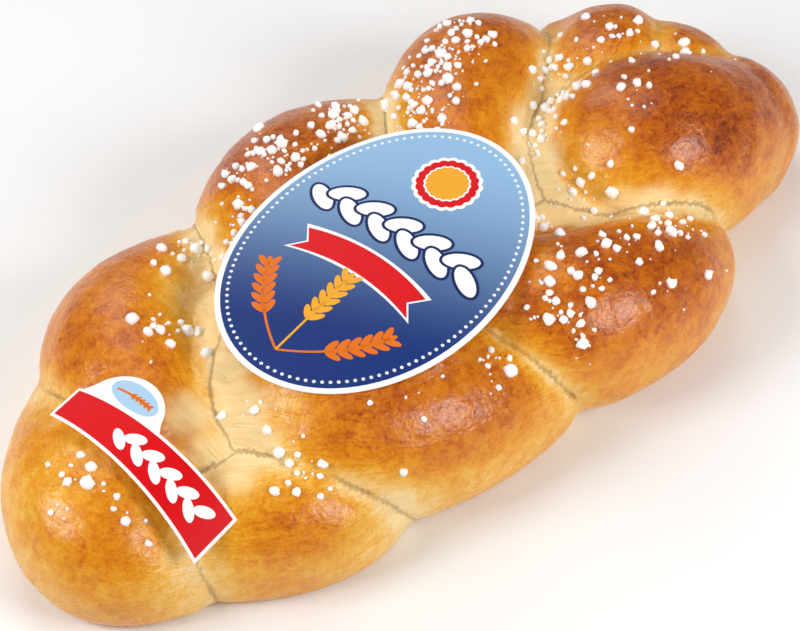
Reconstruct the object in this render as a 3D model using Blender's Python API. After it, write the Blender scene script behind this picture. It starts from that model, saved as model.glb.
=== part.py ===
"""Braided sweet loaf with pearl sugar and two paper labels.

The loaf is a three-strand plait that lies flat on its underside, long axis
along X, with its far end at +X. Each stretch of a strand that comes up to the
top is one lobe: it rises from under its neighbour, swells over its crest and
dives again under the next lobe of the other side. The lobes are swept, joined
into one body with the sugar grains and cut flat where the loaf was baked on
its tray. The labels are thin paper sheets rolled gently over the crests.
"""
import math
import random
from dataclasses import dataclass

import bmesh
import bpy
from mathutils import Matrix, Vector
from mathutils.bvhtree import BVHTree

MM = 0.001

# Lobes: their ends lie lower and are thinner than their crests.
START_HEIGHT, END_HEIGHT = 0.60, 0.60
START_GIRTH, END_GIRTH = 0.80, 0.66
SAG_EXPONENT = 0.8
RINGS, SIDES = 14, 24
CAP_ANGLES = (30.0, 60.0)

# The dough under the crossings, which closes the gaps between the strands.
HEART_GIRTH = 34 * MM
HEART_BREADTH = 1.6

# Pearl sugar
GRAIN_RADIUS = (1.7 * MM, 2.7 * MM)
GRAIN_SINK = 0.30
GRAIN_SPACING = 1.2
SUGAR_SEED = 11
LABEL_MARGIN = 3.5 * MM

# Labels
PAPER_THICKNESS = 0.4 * MM
OUTLINE_POINTS = 72
ROLL_STRIPS = 14


@dataclass
class Lobe:
    """One visible stretch of a strand, in millimetres on the baking tray.

    start, crest and end are where its middle line comes up, is highest and
    dives; radius is its half thickness at the crest and rise the height of
    its middle line there.
    """

    start: tuple
    crest: tuple
    end: tuple
    radius: float
    rise: float

    def middle(self, t):
        """Return the middle line's point at t, from 0 at start to 1 at end."""
        start, crest, end = (Vector(p) * MM for p in (self.start, self.crest, self.end))
        pull = 2.0 * crest - (start + end) / 2.0
        plan = (1 - t) ** 2 * start + 2 * t * (1 - t) * pull + t * t * end
        share = blend(START_HEIGHT, END_HEIGHT, t)
        return Vector((plan.x, plan.y, self.rise * MM * share))

    def girth(self, t):
        """Return the sweep's radius at t."""
        return self.radius * MM * blend(START_GIRTH, END_GIRTH, t)


@dataclass
class Label:
    """A paper sheet rolled about a line along X, in metres.

    crown is the height of its highest line over its centre, ridge that line's
    place in y, bend the radius of the roll and pitch its fall towards -X.
    """

    name: str
    centre: tuple
    turn: float
    crown: float
    ridge: float
    bend: float
    pitch: float
    colour: tuple

    def place(self, u, v):
        """Return the flat point (u, v) laid on the roll."""
        turn, pitch = math.radians(self.turn), math.radians(self.pitch)
        ahead = u * math.cos(turn) - v * math.sin(turn)
        lean = (self.centre[1] + u * math.sin(turn) + v * math.cos(turn) - self.ridge) / self.bend
        drop = self.bend * (1.0 - math.cos(lean))
        return Vector((
            self.centre[0] + ahead * math.cos(pitch),
            self.ridge + self.bend * math.sin(lean),
            self.crown + ahead * math.sin(pitch) - drop,
        ))


# From the far end to the near one; back lobes curve in from +Y, front ones from -Y.
LOBES = (
    Lobe((158, 47), (170, 8), (152, -18), 31, 29),
    Lobe((150, 54), (148, 31), (100, 24), 36, 30),
    Lobe((175, -18), (127, -16), (107, 6), 45, 36),
    Lobe((120, 56), (80, 56), (6, -26), 38, 34),
    Lobe((99, -63), (34, -64), (-20, -6), 37, 35),
    Lobe((38, 67), (-26, 54), (-61, -18), 38, 34),
    Lobe((4, -66), (-68, -55), (-114, -2), 38, 32),
    Lobe((-63, 54), (-126, 30), (-122, -54), 36, 32),
    Lobe((-80, -66), (-118, -59), (-176, -17), 31, 21),
    Lobe((-141, 34), (-176, -16), (-158, -47), 34, 25),
)
HEART_LINE = ((-150, -4, 22), (-60, -4, 24), (50, -2, 23), (152, 14, 14))

# Sugar patches in millimetres: x, y, spread and number of grains.
SUGAR_PATCHES = (
    (82, 62, 7, 14), (66, 62, 8, 16), (50, 62, 6, 7), (96, 74, 5, 4), (45, 50, 6, 10),
    (46, 38, 5, 7), (60, 42, 4, 3), (-24, 64, 8, 12), (-14, 57, 10, 13), (14, 63, 7, 8),
    (22, 68, 6, 8), (-28, 48, 5, 5), (-50, 46, 7, 7), (-62, 40, 4, 3), (-40, 60, 5, 4),
    (-77, 52, 8, 7), (118, 34, 7, 9), (108, 16, 7, 8), (80, 8, 7, 7), (80, -28, 8, 7),
    (52, -28, 4, 3), (118, -16, 8, 3), (160, 10, 14, 4), (148, 35, 9, 4), (22, -58, 6, 5),
    (16, -76, 5, 6), (20, -88, 4, 4), (38, -70, 12, 6), (62, -74, 12, 7), (92, -66, 9, 7),
    (-17, -77, 5, 4), (-56, -73, 12, 3), (-108, -68, 6, 5), (-112, 16, 9, 6), (-108, -34, 8, 3),
    (-182, -20, 9, 4), (-175, -44, 5, 3),
)

OVAL_HALF_LENGTH, OVAL_HALF_WIDTH = 78 * MM, 57 * MM
BANNER_HALF_LENGTH, BANNER_HALF_WIDTH = 44 * MM, 10 * MM
BANNER_BOW, BANNER_FLARE = 2.5 * MM, 1.8 * MM
TAB_PLACE, TAB_HALF_LENGTH, TAB_HEIGHT = -22 * MM, 18 * MM, 15 * MM

OVAL_LABEL = Label("oval_label", (-26 * MM, -13 * MM), 12.0,
                   75.2 * MM, -6 * MM, 420 * MM, 2.0, (0.06, 0.16, 0.42))
BANNER_LABEL = Label("banner_label", (-158 * MM, -31 * MM), -81.0,
                     66.0 * MM, -8 * MM, 88 * MM, 8.0, (0.79, 0.01, 0.02))


def blend(start, end, t):
    """Return a share that is start at 0, 1 half way and end at 1."""
    edge = start if t < 0.5 else end
    return edge + (1.0 - edge) * math.sin(math.pi * t)


def make_material(name, colour, roughness):
    """Return a plain Principled material."""
    material = bpy.data.materials.new(name)
    material.use_nodes = True
    shader = material.node_tree.nodes["Principled BSDF"]
    shader.inputs["Base Color"].default_value = (*colour, 1.0)
    shader.inputs["Roughness"].default_value = roughness
    shader.inputs["Metallic"].default_value = 0.0
    return material


def make_object(name, form):
    """Turn a bmesh into a scene object and free it."""
    mesh = bpy.data.meshes.new(name)
    bmesh.ops.triangulate(form, faces=form.faces)
    bmesh.ops.recalc_face_normals(form, faces=form.faces)
    form.to_mesh(mesh)
    form.free()
    thing = bpy.data.objects.new(name, mesh)
    bpy.context.scene.collection.objects.link(thing)
    return thing


def add_ring(form, centre, side, up, radius, breadth):
    """Add one section of a strand, a little squarer below than above."""
    ring = []
    for step in range(SIDES):
        angle = 2.0 * math.pi * step / SIDES
        across, rise = math.cos(angle), math.sin(angle)
        if rise < 0.0:
            across = math.copysign(abs(across) ** SAG_EXPONENT, across)
            rise = -abs(rise) ** SAG_EXPONENT
        ring.append(form.verts.new(centre + radius * (across * breadth * side + rise * up)))
    return ring


def sweep(name, middle, girth, breadth=1.0):
    """Sweep rounded dough along a middle line.

    Args:
        name: The new object's name.
        middle: Function of t from 0 to 1 giving the middle line's point.
        girth: Function of t giving the radius.
        breadth: Width over height of the section.
    """
    form = bmesh.new()
    stations = []
    for step in range(RINGS):
        t = step / (RINGS - 1)
        stations.append((middle(t), heading(middle, t), girth(t)))
    first, last = stations[0], stations[-1]
    front = [cap_station(first, angle, -1.0) for angle in reversed(CAP_ANGLES)]
    back = [cap_station(last, angle, 1.0) for angle in CAP_ANGLES]
    rings = []
    for centre, ahead, radius in front + stations + back:
        side = ahead.cross(Vector((0, 0, 1))).normalized()
        rings.append(add_ring(form, centre, side, side.cross(ahead), radius, breadth))
    for lower, upper in zip(rings, rings[1:]):
        for step in range(SIDES):
            after = (step + 1) % SIDES
            form.faces.new((lower[step], lower[after], upper[after], upper[step]))
    for ring, (centre, ahead, radius), sign in ((rings[0], first, -1.0), (rings[-1], last, 1.0)):
        pole = form.verts.new(centre + sign * radius * ahead)
        for step in range(SIDES):
            form.faces.new((ring[step], ring[(step + 1) % SIDES], pole))
    return make_object(name, form)


def heading(middle, t):
    """Return the unit direction of a middle line at t."""
    small = 0.01
    return (middle(min(1.0, t + small)) - middle(max(0.0, t - small))).normalized()


def cap_station(station, angle, sign):
    """Return a section of the round cap that closes a strand's end."""
    centre, ahead, radius = station
    turn = math.radians(angle)
    return (centre + sign * radius * math.sin(turn) * ahead, ahead, radius * math.cos(turn))


def heart_middle(t):
    """Return the point at t on the dough under the crossings."""
    place = t * (len(HEART_LINE) - 1)
    step = min(int(place), len(HEART_LINE) - 2)
    before, after = Vector(HEART_LINE[step]), Vector(HEART_LINE[step + 1])
    return before.lerp(after, place - step) * MM


def oval_outline():
    """Return the large label's flat outline."""
    turns = [2.0 * math.pi * step / OUTLINE_POINTS for step in range(OUTLINE_POINTS)]
    return [(OVAL_HALF_LENGTH * math.cos(a), OVAL_HALF_WIDTH * math.sin(a)) for a in turns]


def banner_outline():
    """Return the small label's flat outline: a bowed, flared strip with a round tab."""
    steps = OUTLINE_POINTS // 2
    lower, upper = [], []
    for step in range(steps + 1):
        u = BANNER_HALF_LENGTH * (2.0 * step / steps - 1.0)
        bow = BANNER_BOW * (1.0 - (u / BANNER_HALF_LENGTH) ** 2)
        reach = 1.0 - ((u - TAB_PLACE) / TAB_HALF_LENGTH) ** 2
        tab = TAB_HEIGHT * math.sqrt(reach) if reach > 0.0 else 0.0
        half = BANNER_HALF_WIDTH + BANNER_FLARE * u / BANNER_HALF_LENGTH
        lower.append((u, bow - half))
        upper.append((u, bow + half + tab))
    return lower + upper[::-1]


def make_label(label, outline):
    """Cut a sheet to its outline, roll it and give it its thickness."""
    form = bmesh.new()
    angle = math.radians(label.turn)
    form.faces.new([form.verts.new((u, v, 0.0)) for u, v in outline])
    across = Vector((math.sin(angle), math.cos(angle), 0.0))
    reaches = [vert.co.dot(across) for vert in form.verts]
    low, high = min(reaches), max(reaches)
    for step in range(1, ROLL_STRIPS):
        cut = across * (low + (high - low) * step / ROLL_STRIPS)
        everything = form.verts[:] + form.edges[:] + form.faces[:]
        bmesh.ops.bisect_plane(form, geom=everything, plane_co=cut, plane_no=across)
    bmesh.ops.triangulate(form, faces=form.faces)
    under = form.faces[:]
    grown = bmesh.ops.extrude_face_region(form, geom=under, use_keep_orig=True)
    top = [item for item in grown["geom"] if isinstance(item, bmesh.types.BMVert)]
    bmesh.ops.translate(form, verts=top, vec=(0.0, 0.0, PAPER_THICKNESS))
    for vert in form.verts:
        lift = Vector((0.0, 0.0, vert.co.z))
        vert.co = label.place(vert.co.x, vert.co.y) + lift
    thing = make_object(label.name, form)
    thing.data.materials.append(make_material(label.name, label.colour, 0.35))
    return thing


def tree_of(things):
    """Return one search tree over several objects' faces."""
    points, faces = [], []
    for thing in things:
        first = len(points)
        points += [vert.co.copy() for vert in thing.data.vertices]
        faces += [[first + index for index in face.vertices] for face in thing.data.polygons]
    return BVHTree.FromPolygons(points, faces)


def is_covered(labels, place):
    """Tell whether a grain at this place would lie under or against a label."""
    for x, y in ((0, 0), (1, 0), (-1, 0), (0, 1), (0, -1)):
        below = Vector((place.x + x * LABEL_MARGIN, place.y + y * LABEL_MARGIN, 0.0))
        if labels.ray_cast(below, Vector((0, 0, 1)))[0] is not None:
            return True
    return False


def sugar_grains(dough, labels):
    """Return the matrices of the sugar grains, dropped on the dough from above."""
    draw = random.Random(SUGAR_SEED)
    grains, taken = [], []
    for x, y, spread, count in SUGAR_PATCHES:
        for _ in range(count):
            aside = Vector((draw.gauss(x, spread), draw.gauss(y, spread), 200.0)) * MM
            radius = draw.uniform(*GRAIN_RADIUS)
            shape = [draw.uniform(0.85, 1.2) for _ in range(3)]
            turns = [draw.uniform(0.0, 2.0 * math.pi) for _ in range(2)]
            place = dough.ray_cast(aside, Vector((0, 0, -1)))[0]
            if place is None or is_covered(labels, place):
                continue
            if any((place - spot).length < GRAIN_SPACING * (radius + other) for spot, other in taken):
                continue
            taken.append((place, radius))
            turn = Matrix.Rotation(turns[0], 4, "X") @ Matrix.Rotation(turns[1], 4, "Y")
            size = Matrix.Diagonal((*(radius * s for s in shape), 1.0))
            grains.append(Matrix.Translation(place) @ turn @ size)
    return grains


def add_grain(matrix):
    """Add one sugar grain, mostly above the crust."""
    form = bmesh.new()
    lift = Vector((0, 0, (1.0 - 2.0 * GRAIN_SINK) * GRAIN_RADIUS[0]))
    bmesh.ops.create_icosphere(form, subdivisions=1, radius=1.0, matrix=matrix)
    bmesh.ops.translate(form, verts=form.verts, vec=lift)
    return make_object("grain", form)


def join(host, others):
    """Join objects into the host by one Boolean and remove them."""
    group = bpy.data.collections.new("joined")
    for thing in others:
        group.objects.link(thing)
    union = host.modifiers.new("union", "BOOLEAN")
    union.operation = "UNION"
    union.operand_type = "COLLECTION"
    union.collection = group
    apply_modifiers(host)
    for thing in others:
        bpy.data.objects.remove(thing)
    bpy.data.collections.remove(group)


def cut_underside(host):
    """Cut away what would lie below the baking tray."""
    form = bmesh.new()
    block = Matrix.Translation((0, 0, -0.1)) @ Matrix.Diagonal((1.0, 1.0, 0.2, 1.0))
    bmesh.ops.create_cube(form, size=1.0, matrix=block)
    tray = make_object("tray", form)
    cut = host.modifiers.new("cut", "BOOLEAN")
    cut.operation = "DIFFERENCE"
    cut.object = tray
    apply_modifiers(host)
    bpy.data.objects.remove(tray)


def apply_modifiers(thing):
    """Replace an object's mesh by its evaluated one."""
    graph = bpy.context.evaluated_depsgraph_get()
    mesh = bpy.data.meshes.new_from_object(thing.evaluated_get(graph))
    thing.modifiers.clear()
    thing.data = mesh


def keep_outer_body(thing):
    """Drop the loose scraps and sealed hollows that joining leaves."""
    form = bmesh.new()
    form.from_mesh(thing.data)
    bmesh.ops.dissolve_degenerate(form, edges=form.edges, dist=0.001 * MM)
    bmesh.ops.triangulate(form, faces=form.faces)
    seen, bodies = set(), []
    for start in form.faces:
        if start in seen:
            continue
        seen.add(start)
        body, front = [], [start]
        while front:
            face = front.pop()
            body.append(face)
            for edge in face.edges:
                fresh = [near for near in edge.link_faces if near not in seen]
                seen.update(fresh)
                front += fresh
        bodies.append(body)
    bodies.sort(key=len)
    for body in bodies[:-1]:
        bmesh.ops.delete(form, geom=body, context="FACES")
    loose = [vert for vert in form.verts if not vert.link_faces]
    bmesh.ops.delete(form, geom=loose, context="VERTS")
    form.to_mesh(thing.data)
    form.free()


def centre_on_origin(things, loaf):
    """Move everything so that the loaf's box stands centred on the origin."""
    spots = [vert.co for vert in loaf.data.vertices]
    middle_x = (min(p.x for p in spots) + max(p.x for p in spots)) / 2.0
    middle_y = (min(p.y for p in spots) + max(p.y for p in spots)) / 2.0
    for thing in things:
        thing.data.transform(Matrix.Translation((-middle_x, -middle_y, 0.0)))


def main():
    """Build the loaf and its labels."""
    for thing in list(bpy.data.objects):
        bpy.data.objects.remove(thing)
    heart = sweep("loaf", heart_middle, lambda t: HEART_GIRTH, HEART_BREADTH)
    lobes = [sweep(f"lobe_{index}", lobe.middle, lobe.girth) for index, lobe in enumerate(LOBES)]
    labels = [make_label(OVAL_LABEL, oval_outline()), make_label(BANNER_LABEL, banner_outline())]
    grains = sugar_grains(tree_of(lobes + [heart]), tree_of(labels))
    join(heart, lobes + [add_grain(matrix) for matrix in grains])
    cut_underside(heart)
    keep_outer_body(heart)
    heart.data.materials.clear()
    heart.data.materials.append(make_material("crust", (0.62, 0.30, 0.07), 0.45))
    centre_on_origin([heart] + labels, heart)
    for thing in [heart] + labels:
        thing.data.shade_smooth()
        thing.data.set_sharp_from_angle(angle=math.radians(40.0))


main()
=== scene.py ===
"""Looks of the braided sweet loaf: baked dough, pearl sugar and two paper labels.

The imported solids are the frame. The loaf is swept again from the same lobes as
a fine skin, joined by a voxel remesh, softened along its creases and given the
unevenness of baked dough. Sugar grains and the labels' print are scattered and
repeated by Geometry Nodes. Lengths are metres where nothing else is said.
"""
import logging
import math
import random
from dataclasses import dataclass, field
from enum import Enum
from typing import Callable, Iterable, NamedTuple

import bmesh
import bpy
import numpy as np
from mathutils import Matrix, Vector, noise
from mathutils.bvhtree import BVHTree


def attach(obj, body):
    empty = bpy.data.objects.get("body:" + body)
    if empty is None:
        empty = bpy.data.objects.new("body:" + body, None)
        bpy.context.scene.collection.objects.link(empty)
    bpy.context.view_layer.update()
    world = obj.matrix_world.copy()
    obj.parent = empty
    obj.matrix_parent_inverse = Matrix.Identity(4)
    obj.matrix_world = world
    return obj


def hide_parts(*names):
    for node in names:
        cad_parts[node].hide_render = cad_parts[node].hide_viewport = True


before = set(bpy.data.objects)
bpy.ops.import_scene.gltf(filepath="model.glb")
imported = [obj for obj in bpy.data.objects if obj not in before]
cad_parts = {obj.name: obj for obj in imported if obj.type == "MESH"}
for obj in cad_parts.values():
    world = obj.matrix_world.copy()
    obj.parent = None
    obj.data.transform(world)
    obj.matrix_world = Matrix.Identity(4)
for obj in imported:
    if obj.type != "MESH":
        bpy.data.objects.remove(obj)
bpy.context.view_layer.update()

MM = 0.001
UP = Vector((0.0, 0.0, 1.0))
# From the lobes' places on the baking tray to the frame's origin.
TRAY_SHIFT = Vector((-0.17 * MM, 1.42 * MM, 0.0))
LOG = logging.getLogger("loaf")

Point = tuple[float, float]
Colour = tuple[float, float, float]
# A section across a strand: its middle, the strand's direction and its radius.
Section = tuple[Vector, Vector, float]
Thing = bpy.types.Object
Mesh = bpy.types.Mesh
Node = bpy.types.Node
Socket = bpy.types.NodeSocket
Form = bmesh.types.BMesh


def srgb(red: int, green: int, blue: int) -> Colour:
    """Return the linear colour of an 8-bit screen colour."""
    shares = [level / 255.0 for level in (red, green, blue)]
    return tuple(s / 12.92 if s <= 0.04045 else ((s + 0.055) / 1.055) ** 2.4 for s in shares)


def smooth_step(low: float, high: float, value: np.ndarray) -> np.ndarray:
    """Return 0 below low, 1 above high and a smooth rise between them."""
    share = np.clip((value - low) / (high - low), 0.0, 1.0)
    return share * share * (3.0 - 2.0 * share)


def opaque(value: object) -> object:
    """Give a plain colour its alpha and leave anything else as it is."""
    return (*value, 1.0) if isinstance(value, tuple) and len(value) == 3 else value


class Bake(Enum):
    """How dark the oven has left the crest of a lobe, from 0 to 1."""

    LIGHT = 0.58
    GOLDEN = 0.64
    BROWN = 0.74
    DARK = 0.80
    DEEP = 0.85


class Flow:
    """What a node puts out. The signs +, - and * between flows add Math nodes."""

    def __init__(self, graph: "Graph", socket: Socket) -> None:
        """Keep the output and the graph that it is part of."""
        self.graph = graph
        self.socket = socket

    def __add__(self, other: object) -> "Flow":
        """Return the sum."""
        return self.graph.math("ADD", self, other)

    def __sub__(self, other: object) -> "Flow":
        """Return the difference."""
        return self.graph.math("SUBTRACT", self, other)

    def __mul__(self, other: object) -> "Flow":
        """Return the product."""
        return self.graph.math("MULTIPLY", self, other)


class Graph:
    """A short hand for building one node tree.

    Feeds are a dictionary from an input's name or number to the flow or the
    plain value that it gets; None leaves the input as it is.
    """

    # The two inputs and the output of a Mix node, for each kind of value.
    mix_sockets = {"FLOAT": (2, 3, 0), "VECTOR": (4, 5, 1), "RGBA": (6, 7, 2)}

    def __init__(self, tree: bpy.types.NodeTree) -> None:
        """Keep the tree that the calls add to."""
        self.tree = tree

    def wire(self, node: Node, feeds: dict) -> None:
        """Link a node's inputs to flows, or give them plain values.

        Args:
            node: The node.
            feeds: What its inputs get.
        """
        for key, value in feeds.items():
            if isinstance(value, Flow):
                self.tree.links.new(value.socket, node.inputs[key])
            elif value is not None:
                node.inputs[key].default_value = value

    def add(self, kind: str, feeds: dict | None = None, **settings: object) -> Node:
        """Add a node.

        Args:
            kind: Its type.
            feeds: What its inputs get.
            settings: Its own properties.

        Returns:
            The node.
        """
        node = self.tree.nodes.new(kind)
        for name, value in settings.items():
            setattr(node, name, value)
        self.wire(node, feeds or {})
        return node

    def outs(self, kind: str, feeds: dict | None = None, **settings: object) -> list[Flow]:
        """Add a node and return all that it puts out."""
        return [Flow(self, socket) for socket in self.add(kind, feeds, **settings).outputs]

    def out(self, kind: str, feeds: dict | None = None, output: int | str = 0, **settings: object) -> Flow:
        """Add a node and return one of its outputs."""
        return Flow(self, self.add(kind, feeds, **settings).outputs[output])

    def math(self, operation: str, first: object, second: object, clamp: bool = False) -> Flow:
        """Return the result of a Math node."""
        return self.out("ShaderNodeMath", {0: first, 1: second}, operation=operation, use_clamp=clamp)

    def vector(self, operation: str, first: object, second: object = None, scale: object = None) -> Flow:
        """Return the result of a Vector Math node."""
        return self.out("ShaderNodeVectorMath", {0: first, 1: second, "Scale": scale}, operation=operation)

    def xyz(self, x: object = 0.0, y: object = 0.0, z: object = 0.0) -> Flow:
        """Return a vector made of three parts."""
        return self.out("ShaderNodeCombineXYZ", {0: x, 1: y, 2: z})

    def ease(self, value: object, low: float, high: float, start: float = 0.0, end: float = 1.0) -> Flow:
        """Map a value smoothly from low..high to start..end."""
        feeds = dict(enumerate((value, low, high, start, end)))
        return self.out("ShaderNodeMapRange", feeds, interpolation_type="SMOOTHSTEP")

    def mix(self, factor: object, first: object, second: object, kind: str = "RGBA") -> Flow:
        """Return a mix of two colours, or of two values of another kind."""
        one, two, output = self.mix_sockets[kind]
        feeds = {0: factor, one: opaque(first), two: opaque(second)}
        return self.out("ShaderNodeMix", feeds, output, data_type=kind)

    def blend(self, factor: object, first: object, second: object) -> Flow:
        """Return a mix of two numbers."""
        return self.mix(factor, first, second, "FLOAT")

    def ramp(self, factor: object, stops: Iterable[tuple[float, Colour]]) -> Flow:
        """Return the colour of a ramp.

        Args:
            factor: Where on the ramp.
            stops: Place and colour of each of its stops.

        Returns:
            The colour.
        """
        node = self.add("ShaderNodeValToRGB", {0: factor})
        elements = node.color_ramp.elements
        stops = list(stops)
        while len(elements) < len(stops):
            elements.new(1.0)
        for element, (place, colour) in zip(elements, stops):
            element.position = place
            element.color = opaque(colour)
        return Flow(self, node.outputs[0])

    def noise(self, vector: object, scale: object, detail: object = 2.0, roughness: float = 0.5) -> Flow:
        """Return the factor of a Noise Texture."""
        feeds = {"Vector": vector, "Scale": scale, "Detail": detail, "Roughness": roughness}
        return self.out("ShaderNodeTexNoise", feeds)

    def uneven(self, vector: object, scale: float, detail: float, amount: float) -> Flow:
        """Return a value that wavers about 0, from the group that the materials share."""
        feeds = {"Vector": vector, "Scale": scale, "Detail": detail, "Amount": amount}
        return self.out("ShaderNodeGroup", feeds, node_tree=uneven_group())

    def place(self) -> Flow:
        """Return the Object coordinates."""
        return self.out("ShaderNodeTexCoord", output="Object")

    def attribute(self, name: str, output: str = "Fac") -> Flow:
        """Return an output of an Attribute node."""
        return self.out("ShaderNodeAttribute", output=output, attribute_name=name)

    def bump(self, height: object, strength: float, depth: float, normal: object = None) -> Flow:
        """Return the normal of a Bump node; depth is in metres."""
        feeds = {"Strength": strength, "Distance": depth, "Height": height, "Normal": normal}
        return self.out("ShaderNodeBump", feeds)

    def disc(self, points: int, radius: object = 1.0) -> Flow:
        """Return a flat round face."""
        return self.out("GeometryNodeMeshCircle", {"Vertices": points, "Radius": radius}, fill_type="NGON")


def new_material(name: str) -> tuple[bpy.types.Material, Graph, Node]:
    """Return a material, its graph and its Principled shader."""
    material = bpy.data.materials.new(name)
    material.use_nodes = True
    return material, Graph(material.node_tree), material.node_tree.nodes["Principled BSDF"]


def uneven_group() -> bpy.types.NodeTree:
    """Return the shared group that puts out a value wavering about 0.

    Returns:
        A tree with inputs Vector, Scale, Detail and Amount and output Value.
    """
    name = "uneven"
    if name in bpy.data.node_groups:
        return bpy.data.node_groups[name]
    tree = bpy.data.node_groups.new(name, "ShaderNodeTree")
    tree.interface.new_socket("Vector", in_out="INPUT", socket_type="NodeSocketVector")
    for socket in ("Scale", "Detail", "Amount"):
        tree.interface.new_socket(socket, in_out="INPUT", socket_type="NodeSocketFloat")
    tree.interface.new_socket("Value", in_out="OUTPUT", socket_type="NodeSocketFloat")
    graph = Graph(tree)
    vector, scale, detail, amount = graph.outs("NodeGroupInput")[:4]
    graph.add("NodeGroupOutput", {"Value": (graph.noise(vector, scale, detail) - 0.5) * amount})
    return tree


@dataclass(frozen=True)
class CrustFinish:
    """Egg-washed crust: cream dough in the creases, golden flanks, brown crests, and a thin line of painted
    shade along the crease bottoms.

    A drift of the bake has a scale, a detail and an amount; flecks have a
    scale, the noise that they begin and end at, and an amount. Fibres and
    folds have a scale along, around and across the strands.
    """

    stops: tuple = (
        (0.00, srgb(246, 214, 156)),
        (0.20, srgb(241, 186, 80)),
        (0.36, srgb(232, 160, 30)),
        (0.52, srgb(220, 132, 6)),
        (0.68, srgb(196, 102, 0)),
        (0.82, srgb(164, 72, 0)),
        (0.92, srgb(126, 48, 0)),
        (1.00, srgb(92, 34, 0)),
    )
    dough: Colour = srgb(250, 221, 162)
    dough_shade: Colour = srgb(245, 208, 142)
    # Painted shade: the dark colour of the thin line along each crease bottom, where two strands meet.
    gap: Colour = srgb(136, 80, 30)
    drifts: tuple = ((34.0, 3.0, 0.22), (130.0, 4.0, 0.22), (800.0, 2.0, 0.28))
    flecks: tuple = ((105.0, 0.44, 0.57, 0.07), (260.0, 0.42, 0.60, 0.06), (520.0, 0.60, 0.70, 0.12))
    fibres: tuple = (70.0, 900.0, 1.0)
    folds: tuple = (22.0, 300.0, 1.0)
    glossy: float = 0.29
    matte: float = 0.74

    def material(self) -> bpy.types.Material:
        """Return the crust material."""
        material, graph, shader = new_material("crust")
        place = graph.place()
        sway = graph.xyz(y=graph.uneven(place, 55.0, 2.0, 0.012))
        strand = graph.vector("ADD", graph.attribute("strand", "Vector"), sway)
        fibre, fold = (self.lines(graph, strand, fine) for fine in (self.fibres, self.folds))
        pale = graph.ease(graph.attribute("pale") + graph.uneven(place, 90.0, 4.0, 0.50), 0.15, 0.85)
        crack_and_shade = self.crack_shade_lines(graph, place)
        dough = graph.mix(graph.ease(fold, 0.35, 0.70), self.dough, self.dough_shade)
        colour = graph.mix(pale, graph.ramp(self.bake(graph, place, fibre), self.stops), dough)
        graph.wire(shader, {
            # Painted shade: the crease line pulls the colour towards the dark crease colour.
            "Base Color": graph.mix(crack_and_shade * graph.blend(pale, 0.55, 0.30), colour, self.gap),
            "Roughness": graph.blend(pale, self.glossy, self.matte) + graph.uneven(place, 300.0, 3.0, 0.14),
            "Specular IOR Level": 0.48,
            "Normal": self.relief(graph, place, (fibre, fold, pale, crack_and_shade)),
        })
        return material

    def bake(self, graph: Graph, place: Flow, fibre: Flow) -> Flow:
        """Return how brown the crust is: the stored bake with drifts, streaks and flecks.

        Args:
            graph: The material's graph.
            place: Object coordinates.
            fibre: Fine lines along the strands.

        Returns:
            The place on the ramp of crust colours.
        """
        bake = graph.attribute("bake")
        for drift in self.drifts:
            bake += graph.uneven(place, *drift)
        bake += (fibre - 0.5) * graph.blend(graph.attribute("crease"), 0.20, 0.80)
        for scale, low, high, amount in self.flecks:
            bake += (graph.ease(graph.noise(place, scale, 5.0, 0.62), low, high) - 0.5) * amount
        return bake

    @staticmethod
    def lines(graph: Graph, strand: Flow, fine: tuple[float, ...]) -> Flow:
        """Return lines that run along the strands.

        Args:
            graph: The material's graph.
            strand: Places along and around the strand.
            fine: How close the lines' changes are, along and around.

        Returns:
            The lines' heights, from 0 to 1.
        """
        stretch = graph.out("ShaderNodeMapping", {"Vector": strand, "Scale": fine})
        return graph.noise(stretch, 1.0, 3.0, 0.6)

    @staticmethod
    def crack_shade_lines(graph: Graph, place: Flow) -> Flow:
        """Return a thin, broken line where two strands meet: a groove, and painted shade in the colour.

        Args:
            graph: The material's graph.
            place: Object coordinates.

        Returns:
            1 on the line and 0 beside it.
        """
        strands = graph.attribute("strands", "Vector")
        first, second, third = graph.outs("ShaderNodeSeparateXYZ", {0: strands})
        low, high = (graph.math(operation, first, second) for operation in ("MINIMUM", "MAXIMUM"))
        nearest = graph.math("MINIMUM", low, third)
        middle = graph.math("MAXIMUM", low, graph.math("MINIMUM", high, third))
        apart = middle - nearest + graph.uneven(place, 150.0, 5.0, 3.0)
        return graph.ease(apart, -0.6, 1.6, 1.0, 0.0) * graph.attribute("crack_and_shade")

    @staticmethod
    def relief(graph: Graph, place: Flow, masks: tuple[Flow, ...]) -> Flow:
        """Return the normal of crinkles, fibres, folds, blisters and crack grooves.

        Args:
            graph: The material's graph.
            place: Object coordinates.
            masks: The fibres, the folds, where the dough is pale, and the crack lines.

        Returns:
            What feeds the shader's normal.
        """
        fibre, fold, pale, crack_and_shade = masks
        crinkle = graph.noise(place, 560.0, 3.0, 0.55) * graph.blend(pale, 1.0, 0.60)
        layers = (
            (crinkle, 0.50, 0.5 * MM),
            (fibre * graph.blend(graph.attribute("crease"), 0.40, 1.0), 0.40, 0.6 * MM),
            (fold * pale, 0.60, 2.4 * MM),
            (graph.noise(place, 150.0), 0.40, 1.6 * MM),
            (crack_and_shade * graph.blend(pale, -1.0, -0.35), 0.70, 1.2 * MM),
        )
        normal = None
        for height, strength, depth in layers:
            normal = graph.bump(height, strength, depth, normal)
        return normal


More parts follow.
